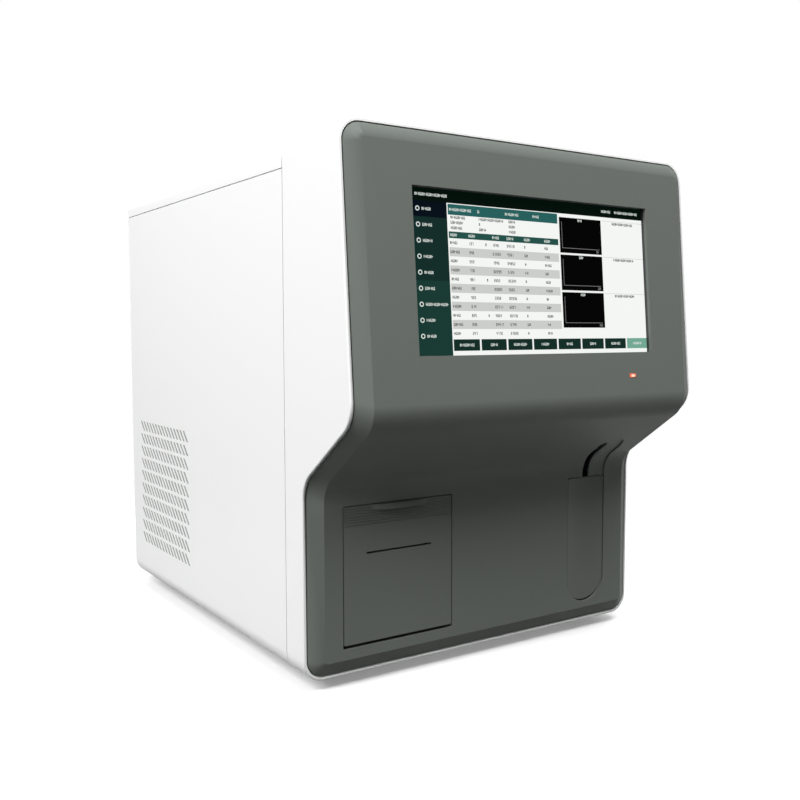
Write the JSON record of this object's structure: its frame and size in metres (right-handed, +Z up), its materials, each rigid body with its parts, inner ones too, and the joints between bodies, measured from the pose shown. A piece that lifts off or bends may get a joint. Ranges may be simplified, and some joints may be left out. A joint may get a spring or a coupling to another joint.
{
  "type": "hematology analyzer",
  "caption": "Bench-top blood analyzer: white case, dark S-shaped front with an overhanging screen, a printer door below it and a tall aspirate key in a channel.",
  "frame": {"origin": "middle of the footprint, on the bench", "axes": "+Z up, the screen faces -Y, +X to the right seen from the front"},
  "size_m": [0.3318, 0.4768, 0.405],
  "materials": {
    "dark_plastic": "fine-grained satin, cool dark grey",
    "dark_trim": "satin dark grey",
    "white_plastic": "satin white",
    "sheet_steel": "zinc-plated sheet",
    "feet_rubber": "matte black",
    "platen_rubber": "matte black",
    "screw_steel": "bright",
    "inner_plastic": "matte black",
    "screen_glass": "clear, polished",
    "circuit_board": "green solder mask",
    "thermal_paper": "smooth white",
    "moving_metal": "satin",
    "motor_paint": "satin black",
    "bath_plastic": "polished acrylic",
    "barrel_glass": "clear",
    "piston_plastic": "satin white",
    "fitting_steel": "polished",
    "display": "lit display with fields of colour",
    "lamp": "translucent orange, lit"
  },
  "bodies": {
    "housing": {"front_panel": "dark_plastic", "front_shell": "white_plastic", "top_cover": "white_plastic", "left_side_panel": "white_plastic", "right_side_panel": "white_plastic", "rear_panel": "sheet_steel", "base_tray": "sheet_steel", "chassis_frame": "sheet_steel", "rubber_feet": "feet_rubber", "case_screws": "screw_steel", "screen_frame": "inner_plastic", "touch_screen": "screen_glass", "lcd_module": "display", "display_bracket": "sheet_steel", "control_board": "circuit_board", "led_lens": "lamp", "led_board": "circuit_board", "door_hinge_pins": "screw_steel", "printer_bucket": "inner_plastic", "roll_spindle": "inner_plastic", "print_head": "inner_plastic", "key_guide": "inner_plastic", "key_switch": "inner_plastic", "gantry_bracket": "moving_metal", "gantry_rods": "screw_steel", "advance_motor": "motor_paint", "shield_box": "sheet_steel", "white_cell_bath": "bath_plastic", "red_cell_bath": "bath_plastic", "syringe_block": "moving_metal", "syringe_barrels": "barrel_glass", "syringe_motor": "motor_paint", "pump_head": "piston_plastic", "pump_motor": "motor_paint", "valve_bank": "piston_plastic", "waste_chamber": "bath_plastic", "main_board": "circuit_board", "power_supply": "moving_metal", "fan_frame": "inner_plastic", "fan_guard": "screw_steel", "inlet_socket": "inner_plastic", "rocker_pin": "screw_steel", "data_sockets": "inner_plastic", "hose_fittings": "fitting_steel"},
    "printer_door": {"printer_door": "dark_trim"},
    "paper_roll": {"paper_roll": "thermal_paper"},
    "platen": {"platen_roller": "platen_rubber"},
    "aspirate_key": {"aspirate_key": "dark_trim"},
    "gantry": {"probe_carriage": "moving_metal", "wash_block": "bath_plastic", "drop_motor": "motor_paint"},
    "probe": {"sample_probe": "screw_steel", "probe_holder": "moving_metal"},
    "drop_screw": {"drop_screw": "screw_steel"},
    "advance_screw": {"advance_screw": "screw_steel"},
    "plungers": {"syringe_plungers": "piston_plastic"},
    "syringe_screw": {"syringe_screw": "screw_steel"},
    "pump_rotor": {"pump_rotor": "piston_plastic"},
    "fan_rotor": {"fan_rotor": "inner_plastic"},
    "power_rocker": {"power_rocker": "inner_plastic"}
  },
  "joints": [
    {"name": "door_hinge", "type": "hinge", "parent": "housing", "child": "printer_door", "pos_m": [-0.08685, -0.16504, 0.037], "axis": [1, 0, 0], "range_deg": [0, 80]},
    {"name": "roll_spin", "type": "hinge", "parent": "housing", "child": "paper_roll", "pos_m": [-0.08685, -0.13625, 0.058], "axis": [1, 0, 0], "continuous": true},
    {"name": "platen_spin", "type": "hinge", "parent": "housing", "child": "platen", "pos_m": [-0.08685, -0.15624, 0.0987], "axis": [1, 0, 0], "continuous": true},
    {"name": "key_press", "type": "slide", "parent": "housing", "child": "aspirate_key", "axis": [0, 1, 0], "range_m": [0, 0.003], "stiffness_N_per_m": 400, "springref_m": -0.003},
    {"name": "gantry_advance", "type": "slide", "parent": "housing", "child": "gantry", "axis": [0, -1, 0], "range_m": [-0.086, 0.039]},
    {"name": "advance_screw_spin", "type": "hinge", "parent": "housing", "child": "advance_screw", "pos_m": [0.1315, -0.02159, 0.26], "axis": [0, 1, 0], "range_deg": [-3880, 1765]},
    {"name": "probe_drop", "type": "slide", "parent": "gantry", "child": "probe", "axis": [0, 0, -1], "range_m": [0, 0.06]},
    {"name": "drop_screw_spin", "type": "hinge", "parent": "gantry", "child": "drop_screw", "pos_m": [0.1082, -0.12459, 0.321], "axis": [0, 0, 1], "range_deg": [-10, 4330]},
    {"name": "plunger_draw", "type": "slide", "parent": "housing", "child": "plungers", "axis": [0, 0, -1], "range_m": [0, 0.03]},
    {"name": "syringe_screw_spin", "type": "hinge", "parent": "housing", "child": "syringe_screw", "pos_m": [0.036, -0.10358, 0.112], "axis": [0, 0, 1], "range_deg": [-10, 2710]},
    {"name": "pump_spin", "type": "hinge", "parent": "housing", "child": "pump_rotor", "pos_m": [0.018, 0.03642, 0.082], "axis": [1, 0, 0], "continuous": true},
    {"name": "fan_spin", "type": "hinge", "parent": "housing", "child": "fan_rotor", "pos_m": [-0.088, 0.20941, 0.262], "axis": [0, 1, 0], "continuous": true},
    {"name": "rocker_tilt", "type": "hinge", "parent": "housing", "child": "power_rocker", "pos_m": [-0.112, 0.22001, 0.0865], "axis": [-1, 0, 0], "range_deg": [0, 16]}
  ],
  "couplings": [
    {"joint": "platen_spin", "follows": "roll_spin", "ratio": 4.4},
    {"joint": "advance_screw_spin", "follows": "gantry_advance", "rad_per_m": 785.4},
    {"joint": "drop_screw_spin", "follows": "probe_drop", "rad_per_m": 1256.6},
    {"joint": "syringe_screw_spin", "follows": "plunger_draw", "rad_per_m": 1570.8}
  ]
}
